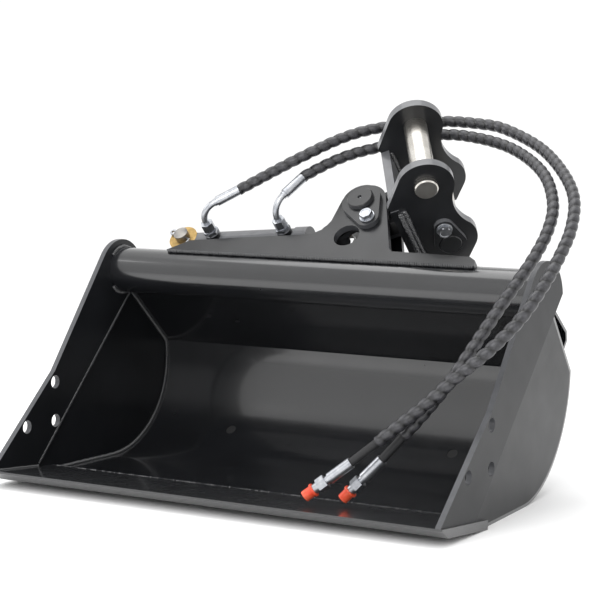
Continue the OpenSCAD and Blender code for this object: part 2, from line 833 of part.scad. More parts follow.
// Turns a point of the tilt frame into the part's frame.
function tilt_to_part(p) = [
    p[0] + pivot_at[0],
    p[1] * cos(frame_lean) - p[2] * sin(frame_lean) + pivot_at[1] - middle_back,
    p[1] * sin(frame_lean) + p[2] * cos(frame_lean) + pivot_at[2] + edge_lift
];
function port_at(i) = [
    barrel_eye[0] + port_x[i] * cos(cylinder_angle),
    barrel_eye[1] + port_x[i] * sin(cylinder_angle),
    plate_mid + port_z + 6
];
function leave(i) = [cos(leave_angle[i]), sin(leave_angle[i]), 0];
function ferrule_start(i) = tilt_to_part(port_at(i) + elbow_r * leave(i) + [0, 0, ferrule_from[2]]);
function ferrule_tip(i) = tilt_to_part(port_at(i) + (elbow_r + ferrule_l) * leave(i) + [0, 0, ferrule_from[2]]);

// A smooth curve through points p0..p3, between p1 and p2.
function curve(p0, p1, p2, p3, t) =
    0.5 * (2 * p1 + (p2 - p0) * t + (2 * p0 - 5 * p1 + 4 * p2 - p3) * t * t + (3 * p1 - p0 - 3 * p2 + p3) * t * t * t);
function curve_at(p, s) =
    let (i = min(floor(s), len(p) - 4), t = s - i) curve(p[i], p[i + 1], p[i + 2], p[i + 3], t);
function flatten_to(n, t) = unit(n - (n * t) * t);
function side_vectors(tangents, i = 0, last = [0, 0, 1]) =
    i == len(tangents) ? [] :
    let (n = flatten_to(last, tangents[i])) concat([n], side_vectors(tangents, i + 1, n));

// Sweeps a round tube along the curve through points, which start and end with a guide point.
module swept_tube(points, rings_per_run, guard_end) {
    sides = 10;
    runs = len(points) - 3;
    rings = runs * rings_per_run;
    spots = [for (k = [0 : rings]) k / rings_per_run];
    centres = [for (s = spots) curve_at(points, s)];
    // The end rings stand square to the guide points, so they sit flat on the ferrules.
    tangents = [for (k = [0 : rings])
        k == 0 ? unit(points[1] - points[0])
        : k == rings ? unit(points[runs + 2] - points[runs + 1])
        : unit(curve_at(points, spots[k] + 0.01) - curve_at(points, spots[k] - 0.01))];
    normals = side_vectors(tangents);
    verts = [for (k = [0 : rings]) let (
            n = normals[k], b = cross(tangents[k], n),
            r = (spots[k] < guard_end ? guard_d : hose_d) / 2
        ) for (j = [0 : sides - 1]) centres[k] + r * (cos(360 * j / sides) * n + sin(360 * j / sides) * b)];
    walls = [for (k = [0 : rings - 1]) for (j = [0 : sides - 1]) let (
            a = k * sides + j, b = k * sides + (j + 1) % sides
        ) [a, a + sides, b + sides, b]];
    start_cap = [for (j = [0 : sides - 1]) j];
    end_cap = [for (j = [sides - 1 : -1 : 0]) rings * sides + j];
    polyhedron(points = verts, faces = concat(walls, [start_cap, end_cap]), convexity = 10);
}

module hose(i, route, free, guard_end) {
    tip = ferrule_tip(i);
    back = tip - 50 * unit(tip - ferrule_start(i));
    onward = free[0] + 50 * unit(free[1] - free[0]);
    color(hose_black) swept_tube(concat([back, tip], route, [free[0], onward]), 2, guard_end);
}

// Stands children at a free end, with z toward its tip.
module at_free_end(free) {
    d = unit(free[1] - free[0]);
    translate(free[0]) rotate([0, acos(d[2]), atan2(d[1], d[0])]) children();
}

module end_ferrule(free) {
    color(zinc) at_free_end(free) {
        rod_between(0, end_ferrule_l - 6, ferrule_d / 2);
        rod_between(end_ferrule_l - 6, end_ferrule_l, 6);
    }
}

module end_nut(free) {
    color(zinc) at_free_end(free) {
        translate([0, 0, end_ferrule_l]) cylinder(h = end_nut_l - 8, d = 19 / cos(30), $fn = 6);
        rod_between(end_ferrule_l + end_nut_l - 8.5, end_ferrule_l + end_nut_l, 7.5);
    }
}

module end_cap(free) {
    color(cap_orange) at_free_end(free) translate([0, 0, end_ferrule_l + end_nut_l]) {
        cylinder(h = 3, d = 21);
        rod_between(2.5, end_cap_l, 8.5);
    }
}

cutting_edge();
side_strip(-1);  // left_side_strip
side_strip(1);  // right_side_strip
side_sheet(-1);  // left_side_sheet
side_sheet(1);  // right_side_sheet
back_sheet();
drain_plugs();
top_tube();
back_stiffener();
tilt_plate_front();
tilt_plate_rear();
pivot_pin();
pivot_pin_retainer();
pivot_retainer_bolt();
pivot_grease_nipple();
barrel_pin();
barrel_pin_washer();
barrel_pin_cotter();
head_hub();
hub_bushes();
crank_plates();
head_base_plate();
ear(1);  // front_ear
ear(-1);  // rear_ear
stick_pin();
ear_retainer(-1, stick_pin_z, -1);  // stick_pin_retainer
ear_retainer_bolt(-1, stick_pin_z - 36);  // stick_retainer_bolt
link_pin();
ear_retainer(1, link_pin_z, 1);  // link_pin_retainer
ear_retainer_bolt(1, link_pin_z + 36);  // link_retainer_bolt
cylinder_barrel();
cylinder_gland();
port_adapters();
swivel_nuts();
hose_elbows();
port_ferrules();
piston_rod();
piston();
piston_seals();
rod_eye();
rod_pin();
rod_pin_washers();
rod_pin_cotters();
hose(0, route_a, free_a, guard_end_a);  // hose_a
end_ferrule(free_a);  // hose_a_ferrule
end_nut(free_a);  // hose_a_nut
end_cap(free_a);  // hose_a_cap
hose(1, route_b, free_b, guard_end_b);  // hose_b
end_ferrule(free_b);  // hose_b_ferrule
end_nut(free_b);  // hose_b_nut
end_cap(free_b);  // hose_b_cap
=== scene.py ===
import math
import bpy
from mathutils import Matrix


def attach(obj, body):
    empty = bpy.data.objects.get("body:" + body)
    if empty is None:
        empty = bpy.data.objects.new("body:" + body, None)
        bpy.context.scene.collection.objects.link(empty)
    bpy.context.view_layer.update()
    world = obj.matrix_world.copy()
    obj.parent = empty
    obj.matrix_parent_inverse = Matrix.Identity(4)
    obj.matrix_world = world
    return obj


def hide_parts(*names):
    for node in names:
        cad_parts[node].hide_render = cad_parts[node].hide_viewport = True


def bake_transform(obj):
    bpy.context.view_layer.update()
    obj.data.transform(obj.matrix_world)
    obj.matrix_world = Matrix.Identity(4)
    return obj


bl_info = {
    "name": "Tilting grading bucket",
    "version": (1, 0, 0),
    "blender": (4, 5, 0),
    "location": "3D View > Sidebar > Bucket",
    "description": "Finishes, weld beads, bolts and hoses of a tilting grading bucket",
    "category": "Object",
}

import bmesh
import bpy
from mathutils import Matrix, Vector

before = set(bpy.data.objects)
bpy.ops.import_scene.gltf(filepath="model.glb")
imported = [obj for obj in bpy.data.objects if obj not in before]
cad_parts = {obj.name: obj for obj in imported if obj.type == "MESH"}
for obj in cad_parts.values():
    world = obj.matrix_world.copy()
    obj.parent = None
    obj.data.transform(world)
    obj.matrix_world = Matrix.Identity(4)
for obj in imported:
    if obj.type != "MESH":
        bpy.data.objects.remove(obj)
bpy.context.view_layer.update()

# ---- Sizes of the solid model, in millimetres ----
WIDTH = 800.0
TUBE_AT = (350.0, 291.0)
TUBE_R = 38.0
SHEET_T = 5.0
ROLL_R = 172.0
ROLL_BACK = 300.0
STRIP_T = 9.0
STRIP_STEP = 1.5
SIDE_TAPER = math.radians(4.5)
BLADE_DEPTH, BLADE_T, BLADE_SLOPE = 145.0, 14.0, math.radians(5.5)
LEAN = math.radians(43.4)
HEAD_TURN = math.radians(62)
PIVOT_HEIGHT, PIVOT_RIGHT = 138.0, 39.0
EAR_OUT = 81.0
EAR_REACH = 119.0
STICK_PIN_Z, LINK_PIN_Z = 100.0, -26.0
EDGE_LIFT = BLADE_DEPTH * math.sin(BLADE_SLOPE) + BLADE_T * math.cos(BLADE_SLOPE)
BLADE_REAR = BLADE_DEPTH * math.cos(BLADE_SLOPE) - BLADE_T * math.sin(BLADE_SLOPE)
PIVOT = Vector((
    PIVOT_RIGHT,
    TUBE_AT[0] + PIVOT_HEIGHT * math.cos(LEAN),
    TUBE_AT[1] + PIVOT_HEIGHT * math.sin(LEAN),
))
EAR_FOOT = (133.0, -76.0)
EAR_FOOT_BACK = (
    PIVOT.y + (EAR_FOOT[0] * math.cos(HEAD_TURN) + EAR_OUT * math.sin(HEAD_TURN)) * math.cos(LEAN)
    - EAR_FOOT[1] * math.sin(LEAN)
)
MIDDLE_BACK = (EAR_FOOT_BACK - 3 * math.sin(BLADE_SLOPE)) / 2
ROLL_UP = ROLL_R - EDGE_LIFT
WELD_LOW = Vector((112.0, -112.0 * math.tan(BLADE_SLOPE)))
WELD_HIGH = Vector((TUBE_AT[0] + 32, TUBE_AT[1] - 29))


def shell(x, back, up):
    """A point given from the cutting edge's top front line."""
    return Vector((x, back - MIDDLE_BACK, up + EDGE_LIFT)) / 1000


def tilt(x, y, z):
    """A point of the leaning tilt frame: right, up the plates, out to the front."""
    c, s = math.cos(LEAN), math.sin(LEAN)
    return shell(x + PIVOT.x, y * c - z * s + PIVOT.y, y * s + z * c + PIVOT.z)


def head(x, y, z):
    """A point of the tilting head: along the ear pins, towards the ears, out to the front."""
    c, s = math.cos(HEAD_TURN), math.sin(HEAD_TURN)
    return tilt(x * c + y * s, -x * s + y * c, z)


HEAD_AXIS = (head(1, 0, 0) - head(0, 0, 0)).normalized()
TILT_AXIS = (tilt(0, 0, 1) - tilt(0, 0, 0)).normalized()

# ---- Routes of the two hoses, in metres: guide point, ferrule, route, free end, guide point ----
ROUTE_A = [
    (-70, 110, 515), (-12, 168, 550), (45, 215, 566), (118, 250, 573), (182, 255, 570),
    (235, 245, 562), (317, 200, 535), (385, 135, 500), (430, 75, 464), (450, 20, 424),
    (455, -30, 388), (451, -80, 347), (433, -120, 301), (400, -150, 258), (360, -172, 220),
    (312, -190, 173),
]
FREE_A = [(214, -220, 89), (144, -248, 31)]
ROUTE_B = [
    (-16, 158, 515), (42, 205, 534), (118, 240, 551), (192, 235, 547), (274, 200, 530),
    (352, 135, 498), (398, 70, 458), (413, 20, 420), (410, -30, 377), (393, -85, 324),
    (368, -130, 262), (327, -160, 190),
]
FREE_B = [(249, -190, 92), (188, -205, 26.5)]
PORT_X = (60.0, 195.0)
LEAVE = (math.radians(42), math.radians(66))
BARREL_EYE = (-328.0, -74.0)
CRANK_R, CRANK_REST = 62.0, math.radians(-46)
CYLINDER_ANGLE = math.atan2(
    -CRANK_R * math.cos(CRANK_REST) - BARREL_EYE[1], CRANK_R * math.sin(CRANK_REST) - BARREL_EYE[0]
)
PLATE_MID = -4.0
PORT_FACE = 30.0
ELBOW_R, FERRULE_L = 28.0, 46.0
FERRULE_Z = 9 + 15 + 2 + ELBOW_R


def port_point(i, along):
    """A point on the line in which hose i leaves its elbow."""
    x = BARREL_EYE[0] + PORT_X[i] * math.cos(CYLINDER_ANGLE) + (ELBOW_R + along) * math.cos(LEAVE[i])
    y = BARREL_EYE[1] + PORT_X[i] * math.sin(CYLINDER_ANGLE) + (ELBOW_R + along) * math.sin(LEAVE[i])
    return tilt(x, y, PLATE_MID + PORT_FACE + FERRULE_Z)


# ---- Colour and node helpers ----
def linear(hex_colour):
    """Turns an sRGB hex value into linear RGBA."""
    parts = [int(hex_colour[i:i + 2], 16) / 255 for i in (1, 3, 5)]
    return [p / 12.92 if p <= 0.04045 else ((p + 0.055) / 1.055) ** 2.4 for p in parts] + [1.0]


def add(tree, kind, links=None, **settings):
    """Adds a node; links maps an input's name or number to a socket or a value."""
    node = tree.nodes.new(kind)
    for key, value in settings.items():
        setattr(node, key, value)
    for key, value in (links or {}).items():
        socket = node.inputs[key]
        if isinstance(value, bpy.types.NodeSocket):
            tree.links.new(value, socket)
        else:
            socket.default_value = value
    return node


def new_material(name):
    """An empty material with a Principled shader joined to its output."""
    mat = bpy.data.materials.new(name)
    mat.use_nodes = True
    tree = mat.node_tree
    tree.nodes.clear()
    shader = add(tree, "ShaderNodeBsdfPrincipled")
    out = add(tree, "ShaderNodeOutputMaterial")
    tree.links.new(shader.outputs["BSDF"], out.inputs["Surface"])
    return mat, tree, shader


def noise(tree, place, scale, detail, roughness=0.5):
    """Soft noise over the object's own coordinates; scale is in waves per metre."""
    settings = {"Vector": place.outputs["Object"], "Scale": scale, "Detail": detail, "Roughness": roughness}
    return add(tree, "ShaderNodeTexNoise", settings).outputs["Fac"]


def fine_bump(tree, shader, height, strength, distance):
    """Joins a small bump to the shader."""
    settings = {"Height": height, "Strength": strength, "Distance": distance}
    bump = add(tree, "ShaderNodeBump", settings)
    tree.links.new(bump.outputs["Normal"], shader.inputs["Normal"])


def mixed(tree, factor, first, second, **settings):
    """The colour first, going over to second as factor rises."""
    inputs = {"Fac": factor, "Color1": first, "Color2": second}
    return add(tree, "ShaderNodeMixRGB", inputs, **settings).outputs["Color"]


def ramp(tree, factor, stops):
    """A colour ramp with (position, hex) stops."""
    node = add(tree, "ShaderNodeValToRGB", {"Fac": factor})
    while len(node.color_ramp.elements) < len(stops):
        node.color_ramp.elements.new(0.5)
    for element, (position, colour) in zip(node.color_ramp.elements, stops):
        element.position = position
        element.color = linear(colour)
    return node.outputs["Color"]


def spread(tree, factor, low, high):
    """Maps 0..1 to low..high."""
    node = add(tree, "ShaderNodeMapRange", {"Value": factor, "To Min": low, "To Max": high})
    return node.outputs["Result"]


def black_gloss_paint(
    name, base="#121315", reflected_edge_grey="#77787b", cut_axis=None, roughness=0.22, coat=0.9, shine=0.5,
):
    """Stoved black gloss over welded plate. It is sprayed, so it has a fine orange peel about 3 mm
    across, and pools of gloss where it is thick. On a plate's cut edges a lighter grey is painted
    in noisy patches: a painted reflection."""
    mat, tree, shader = new_material(name)
    place = add(tree, "ShaderNodeTexCoord")
    cloud = noise(tree, place, 9.0, 5.0, 0.6)
    dust = noise(tree, place, 900.0, 1.0)
    colour = ramp(tree, cloud, [(0.35, base), (0.7, "#191a1d")])
    specks = ramp(tree, dust, [(0.72, "#000000"), (0.8, "#5a5a5c")])
    colour = mixed(tree, 0.35, colour, specks, blend_type="ADD")
    # Painted reflection: faces square to cut_axis, a plate's cut edges, go over to a lighter grey in noisy
    # patches.
    if cut_axis is not None:
        facing = {0: place.outputs["Normal"], 1: tuple(cut_axis)}
        turned = add(tree, "ShaderNodeVectorMath", facing, operation="DOT_PRODUCT")
        flat = add(tree, "ShaderNodeMath", {0: turned.outputs["Value"]}, operation="ABSOLUTE")
        on_edge = add(tree, "ShaderNodeMapRange", {
            "Value": flat.outputs["Value"], "From Min": 0.25, "From Max": 0.55, "To Min": 1.0, "To Max": 0.0,
        })
        reflection_patchiness = spread(tree, noise(tree, place, 60.0, 4.0), 0.5, 1.0)
        amount = add(tree, "ShaderNodeMath", {0: on_edge.outputs["Result"], 1: reflection_patchiness}, operation="MULTIPLY")
        colour = mixed(tree, amount.outputs["Value"], colour, linear(reflected_edge_grey))
    tree.links.new(colour, shader.inputs["Base Color"])
    gloss = noise(tree, place, 22.0, 4.0)
    tree.links.new(spread(tree, gloss, roughness - 0.06, roughness + 0.1), shader.inputs["Roughness"])
    shader.inputs["IOR"].default_value = 1.55
    shader.inputs["Coat Weight"].default_value = coat
    shader.inputs["Specular IOR Level"].default_value = shine
    shader.inputs["Coat Roughness"].default_value = 0.09
    fine_bump(tree, shader, noise(tree, place, 330.0, 2.0), 0.12, 0.0004)
    return mat


def turned_steel(name, axis, colour="#cfccc6", roughness=0.24, painted_from=None):
    """Bare steel bar turned on a lathe: bright, with fine rings about 0.5 mm apart round the axis,
    drawn coarser so that they show, and a faint oil film. Beyond painted_from along the axis the
    bar's end is painted black."""
    mat, tree, shader = new_material(name)
    place = add(tree, "ShaderNodeTexCoord")
    axis_dot = {0: place.outputs["Object"], 1: tuple(axis)}
    along = add(tree, "ShaderNodeVectorMath", axis_dot, operation="DOT_PRODUCT")
    turning = {"W": along.outputs["Value"], "Scale": 900.0, "Detail": 2.0}
    rings = add(tree, "ShaderNodeTexNoise", turning, noise_dimensions="1D").outputs["Fac"]
    tone = ramp(tree, noise(tree, place, 45.0, 4.0), [(0.3, colour), (0.75, "#b9b5ae")])
    shader.inputs["Metallic"].default_value = 1.0
    if painted_from is not None:
        past = {0: along.outputs["Value"], 1: painted_from}
        end = add(tree, "ShaderNodeMath", past, operation="GREATER_THAN").outputs["Value"]
        tone = mixed(tree, end, tone, linear("#1b1c1e"))
        bare = add(tree, "ShaderNodeMath", {0: 1.0, 1: end}, operation="SUBTRACT")
        tree.links.new(bare.outputs["Value"], shader.inputs["Metallic"])
    tree.links.new(tone, shader.inputs["Base Color"])
    tree.links.new(spread(tree, rings, roughness - 0.05, roughness + 0.12), shader.inputs["Roughness"])
    fine_bump(tree, shader, rings, 0.15, 0.0002)
    return mat


def plated(name, bright, dull, roughness, grain=70.0):
    """Electroplated steel, such as zinc: a soft mirror with slow clouding where the bath was uneven."""
    mat, tree, shader = new_material(name)
    place = add(tree, "ShaderNodeTexCoord")
    cloud = noise(tree, place, grain, 5.0, 0.65)
    tree.links.new(ramp(tree, cloud, [(0.32, bright), (0.72, dull)]), shader.inputs["Base Color"])
    tree.links.new(spread(tree, cloud, roughness - 0.06, roughness + 0.12), shader.inputs["Roughness"])
    shader.inputs["Metallic"].default_value = 1.0
    fine_bump(tree, shader, noise(tree, place, 1400.0, 1.0), 0.08, 0.0002)
    return mat


def moulded(name, colour, scuffed, roughness, grain):
    """Moulded polymer or rubber: satin, with a fine grain and paler scuffs."""
    mat, tree, shader = new_material(name)
    place = add(tree, "ShaderNodeTexCoord")
    scuff = noise(tree, place, 85.0, 6.0, 0.7)
    tree.links.new(ramp(tree, scuff, [(0.45, colour), (0.78, scuffed)]), shader.inputs["Base Color"])
    tree.links.new(spread(tree, scuff, roughness - 0.05, roughness + 0.15), shader.inputs["Roughness"])
    shader.inputs["IOR"].default_value = 1.5
    fine_bump(tree, shader, noise(tree, place, grain, 2.0), 0.2, 0.0003)
    return mat


def hose_material(name, cover="#1a1a1c", guard="#2b2b2e"):
    """A rubber hose in a spiral guard of moulded polyethylene. The guard is smooth and satin, with painted
    highlights on its crowns and painted shade in its grooves; the bare hose is matt. The attribute guarded
    says where the guard is."""
    mat, tree, shader = new_material(name)
    place = add(tree, "ShaderNodeTexCoord")
    where = add(tree, "ShaderNodeAttribute", attribute_name="guarded").outputs["Fac"]
    crown = add(tree, "ShaderNodeAttribute", attribute_name="crown").outputs["Fac"]
    sheen_noise = noise(tree, place, 160.0, 5.0, 0.7)
    crown_highlight = add(tree, "ShaderNodeMath", {0: crown, 1: sheen_noise}, operation="MULTIPLY")
    # Painted shade in the grooves (darkest stop) and painted highlights on the crowns (palest stop), broken
    # up by noise.
    body = ramp(tree, crown_highlight.outputs["Value"], [(0.12, "#0e0e0f"), (0.38, guard), (0.7, "#48484c")])
    tree.links.new(mixed(tree, where, linear(cover), body), shader.inputs["Base Color"])
    tree.links.new(spread(tree, where, 0.62, 0.34), shader.inputs["Roughness"])
    fine_bump(tree, shader, noise(tree, place, 700.0, 3.0), 0.25, 0.0004)
    return mat


MATERIALS = {}


def finish(name):
    """The named finish, made once."""
    if name not in MATERIALS:
        MATERIALS[name] = FINISHES[name]()
    return MATERIALS[name]


FINISHES = {
    # Flat shell plates: the darkest and glossiest surfaces
    "shell_paint": lambda: black_gloss_paint(
        "shell_black_gloss_paint", bpy.context.scene.bucket_looks.paint_hex,
    ),
    # Side sheets: a thinner coat than inside, so they mirror less
    "side_paint": lambda: black_gloss_paint(
        "side_black_paint", base="#101113", roughness=0.3, coat=0.0, shine=0.22,
    ),
    # Strips: cut edges run across X, with a painted reflection on them
    "strip_paint": lambda: black_gloss_paint(
        "strip_black_gloss_paint", cut_axis=(1, 0, 0), reflected_edge_grey="#57585b", roughness=0.3, coat=0.0, shine=0.25,
    ),
    # The blade's ground bevel is a little worn
    "blade_paint": lambda: black_gloss_paint("blade_black_paint", base="#1b1c1e", roughness=0.36),
    # Tilt plates: profiles cut square to the tilt axis, with a painted reflection on the cut edges
    "plate_paint": lambda: black_gloss_paint(
        "tilt_plate_black_paint", base="#0d0e10", cut_axis=TILT_AXIS, reflected_edge_grey="#4c4d50",
        roughness=0.3, coat=0.2, shine=0.35,
    ),
    # Ears: profiles cut square to the ear pins, with a painted reflection on the cut edges
    "ear_paint": lambda: black_gloss_paint(
        "ear_black_paint", cut_axis=HEAD_AXIS, reflected_edge_grey="#6c6d70", roughness=0.3, coat=0.3, shine=0.4,
    ),
    "weld_paint": lambda: black_gloss_paint("painted_weld_bead", base="#222326", roughness=0.3),
    "ear_pin_steel": lambda: turned_steel(
        "turned_ear_pin_steel", HEAD_AXIS, bpy.context.scene.bucket_looks.pin_hex,
    ),
    # The link pin's front end is painted over together with its flag plate
    "link_pin_steel": lambda: turned_steel(
        "turned_link_pin_steel", HEAD_AXIS, bpy.context.scene.bucket_looks.pin_hex,
        painted_from=head(EAR_OUT + 0.5, EAR_REACH, LINK_PIN_Z).dot(HEAD_AXIS),
    ),
    "pin_steel": lambda: turned_steel("turned_pin_steel", TILT_AXIS, "#a8a6a2", 0.3),
    # The barrel pin is drawn a darker grey than the other pins.
    "dark_pin_steel": lambda: turned_steel("darker_grey_pin_steel", TILT_AXIS, "#67676a", 0.34),
    "chrome": lambda: plated("hard_chromed_rod", "#d9dadd", "#c3c5c9", 0.1),
    "zinc": lambda: plated("bright_zinc_plate", "#c3c5c8", "#90939a", 0.3),
    "yellow_zinc": lambda: plated("yellow_passivated_zinc", "#c2a36a", "#8f784c", 0.38),
    "bronze": lambda: plated("bearing_bronze", "#a8834f", "#7d6038", 0.35),
    "seal": lambda: moulded("seal_rubber", "#161617", "#242425", 0.55, 900.0),
    "cap_plastic": lambda: moulded("orange_cap_polyethylene", "#e2492a", "#ee7a58", 0.36, 500.0),
    "hose": lambda: hose_material("spiral_guarded_hose"),
}

# The carried-over parts that each finish covers
FINISH_NODES = {
    "blade_paint": ("cutting_edge",),
    "strip_paint": ("left_side_strip", "right_side_strip"),
    "side_paint": ("left_side_sheet", "right_side_sheet"),
    "shell_paint": ("back_sheet", "top_tube", "back_stiffener"),
    "seal": ("drain_plugs", "piston_seals"),
    "plate_paint": (
        "tilt_plate_front", "tilt_plate_rear", "pivot_pin", "pivot_pin_retainer", "head_hub",
        "crank_plates", "rod_eye",
    ),
    "zinc": (
        "pivot_grease_nipple", "barrel_pin_cotter", "port_adapters", "swivel_nuts", "hose_elbows",
        "port_ferrules", "hose_a_ferrule", "hose_a_nut", "hose_b_ferrule", "hose_b_nut",
    ),
    "dark_pin_steel": ("barrel_pin",),
    "yellow_zinc": ("barrel_pin_washer", "rod_pin_washers", "rod_pin_cotters"),
    "bronze": ("hub_bushes",),
    "ear_paint": (
        "head_base_plate", "front_ear", "rear_ear", "stick_pin_retainer", "link_pin_retainer",
        "cylinder_barrel", "cylinder_gland",
    ),
    "ear_pin_steel": ("stick_pin",),
    "link_pin_steel": ("link_pin",),
    "chrome": ("piston_rod",),
    "pin_steel": ("piston", "rod_pin"),
    "cap_plastic": ("hose_a_cap", "hose_b_cap"),
}


# ---- Mesh helpers ----
def link(obj):
    bpy.context.scene.collection.objects.link(obj)
    return obj


def piece(name, mesh, body, mat=None):
    """Links a mesh as a finished piece riding on a body."""
    obj = link(bpy.data.objects.new(name, mesh))
    if mat is not None:
        obj.data.materials.clear()
        obj.data.materials.append(mat)
    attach(obj, body)
    return obj


def polyline(name, paths):
    """A mesh of edges through each path's points."""
    verts, edges = [], []
    for path in paths:
        start = len(verts)
        verts += [tuple(p) for p in path]
        edges += [(start + i, start + i + 1) for i in range(len(path) - 1)]
    mesh = bpy.data.meshes.new(name)
    mesh.from_pydata(verts, edges, [])
    return mesh


def lathe(profile, origin, axis, sides=40):
    """A closed turned shape: profile is (along, radius) pairs in millimetres."""
    bm = bmesh.new()
    axis = Vector(axis).normalized()
    turn = axis.to_track_quat("Z", "Y").to_matrix()
    rings = []
    for along, radius in profile:
        ring = []
        for k in range(sides):
            a = 2 * math.pi * k / sides
            local = Vector((radius * math.cos(a), radius * math.sin(a), along)) / 1000
            ring.append(bm.verts.new(Vector(origin) + turn @ local))
        rings.append(ring)
    for low, high in zip(rings, rings[1:]):
        for k in range(sides):
            bm.faces.new((low[k], low[(k + 1) % sides], high[(k + 1) % sides], high[k]))
    bm.faces.new(list(reversed(rings[0])))
    bm.faces.new(rings[-1])
    bmesh.ops.recalc_face_normals(bm, faces=bm.faces)
    return bm


def mesh_of(bm, name, smooth_angle=40):
    mesh = bpy.data.meshes.new(name)
    bm.to_mesh(mesh)
    bm.free()
    for face in mesh.polygons:
        face.use_smooth = True
    mesh.set_sharp_from_angle(angle=math.radians(smooth_angle))
    return mesh


# ---- Geometry Nodes ----
def bead_tree():
    """Lays weld scallops along the paths: each is a flattened ball set square to the run."""
    tree = bpy.data.node_groups.new("weld_bead", "GeometryNodeTree")
    face = tree.interface
    face.new_socket("Geometry", in_out="INPUT", socket_type="NodeSocketGeometry")
    for name, value in (("Width", 0.006), ("Pitch", 0.0026)):
        socket = face.new_socket(name, in_out="INPUT", socket_type="NodeSocketFloat")
        socket.default_value = value
    face.new_socket("Material", in_out="INPUT", socket_type="NodeSocketMaterial")
    face.new_socket("Geometry", in_out="OUTPUT", socket_type="NodeSocketGeometry")
    given = add(tree, "NodeGroupInput")
    run = add(tree, "GeometryNodeMeshToCurve", {"Mesh": given.outputs["Geometry"]})
    stepped = {"Curve": run.outputs["Curve"], "Length": given.outputs["Pitch"]}
    spots = add(tree, "GeometryNodeResampleCurve", stepped, mode="LENGTH")
    points = add(tree, "GeometryNodeCurveToPoints", {"Curve": spots.outputs["Curve"]}, mode="EVALUATED")
    ball = add(tree, "GeometryNodeMeshIcoSphere", {"Radius": 0.5, "Subdivisions": 2})
    limits = {"Min": (0.5, 0.86, 0.86), "Max": (0.62, 1.16, 1.16), "Seed": 7}
    wobble = add(tree, "FunctionNodeRandomValue", limits, data_type="FLOAT_VECTOR")
    sized = {0: wobble.outputs[0], "Scale": given.outputs["Width"]}
    size = add(tree, "ShaderNodeVectorMath", sized, operation="SCALE")
    square = add(tree, "FunctionNodeAlignRotationToVector", {"Vector": points.outputs["Tangent"]}, axis="X")
    laid = add(tree, "GeometryNodeInstanceOnPoints", {
        "Points": points.outputs["Points"], "Instance": ball.outputs["Mesh"],
        "Rotation": square.outputs["Rotation"], "Scale": size.outputs["Vector"],
    })
    solid = add(tree, "GeometryNodeRealizeInstances", {"Geometry": laid.outputs["Instances"]})
    round_off = add(tree, "GeometryNodeSetShadeSmooth", {"Geometry": solid.outputs["Geometry"]})
    painted = {"Geometry": round_off.outputs["Geometry"], "Material": given.outputs["Material"]}
    paint = add(tree, "GeometryNodeSetMaterial", painted)
    done = add(tree, "NodeGroupOutput")
    tree.links.new(paint.outputs["Geometry"], done.inputs["Geometry"])
    return tree


def scatter_tree():
    """Sets a copy of a part at each point, with its Z along the point's normal."""
    tree = bpy.data.node_groups.new("bolts_at_points", "GeometryNodeTree")
    face = tree.interface
    face.new_socket("Geometry", in_out="INPUT", socket_type="NodeSocketGeometry")
    face.new_socket("Part", in_out="INPUT", socket_type="NodeSocketObject")
    face.new_socket("Axis", in_out="INPUT", socket_type="NodeSocketVector")
    face.new_socket("Material", in_out="INPUT", socket_type="NodeSocketMaterial")
    face.new_socket("Geometry", in_out="OUTPUT", socket_type="NodeSocketGeometry")
    given = add(tree, "NodeGroupInput")
    part = add(tree, "GeometryNodeObjectInfo", {"Object": given.outputs["Part"]})
    points = add(tree, "GeometryNodeMeshToPoints", {"Mesh": given.outputs["Geometry"]})
    stand = add(tree, "FunctionNodeAlignRotationToVector", {"Vector": given.outputs["Axis"]}, axis="Z")
    laid = add(tree, "GeometryNodeInstanceOnPoints", {
        "Points": points.outputs["Points"], "Instance": part.outputs["Geometry"],
        "Rotation": stand.outputs["Rotation"],
    })
    solid = add(tree, "GeometryNodeRealizeInstances", {"Geometry": laid.outputs["Instances"]})
    painted = {"Geometry": solid.outputs["Geometry"], "Material": given.outputs["Material"]}
    paint = add(tree, "GeometryNodeSetMaterial", painted)
    done = add(tree, "NodeGroupOutput")
    tree.links.new(paint.outputs["Geometry"], done.inputs["Geometry"])
    return tree


TREES = {}


def tree(name, make):
    if name not in TREES:
        TREES[name] = make()
    return TREES[name]


def grow(name, mesh, group, inputs, body):
    """Runs a node tree on a mesh, and keeps the result as a plain mesh on a body."""
    seed = link(bpy.data.objects.new(name + "_seed", mesh))
    modifier = seed.modifiers.new("nodes", "NODES")
    modifier.node_group = group
    for item in group.interface.items_tree:
        if item.item_type == "SOCKET" and item.in_out == "INPUT" and item.name in inputs:
            modifier[item.identifier] = inputs[item.name]
    bpy.context.view_layer.update()
    seen = seed.evaluated_get(bpy.context.evaluated_depsgraph_get())
    result = bpy.data.meshes.new_from_object(seen)
    result.name = name
    bpy.data.objects.remove(seed)
    if len(result.polygons) == 0:
        raise RuntimeError(name + ": the node tree made no faces")
    return piece(name, result, body)


def weld(name, paths, width, body, pitch=0.0026):
    return grow(
        name, polyline(name, paths), tree("bead", bead_tree),
        {"Width": width, "Pitch": pitch, "Material": finish("weld_paint")}, body,
    )


# ---- Seams ----
def side_x(back, up, inset):
    """Half width of the leaning side sheet's face at a point of the side profile."""
    along = (WELD_HIGH - WELD_LOW).normalized()
    d = along.y * (back - WELD_LOW.x) - along.x * (up - WELD_LOW.y)
    return WIDTH / 2 - STRIP_STEP - (inset + math.sin(SIDE_TAPER) * d) / math.cos(SIDE_TAPER)


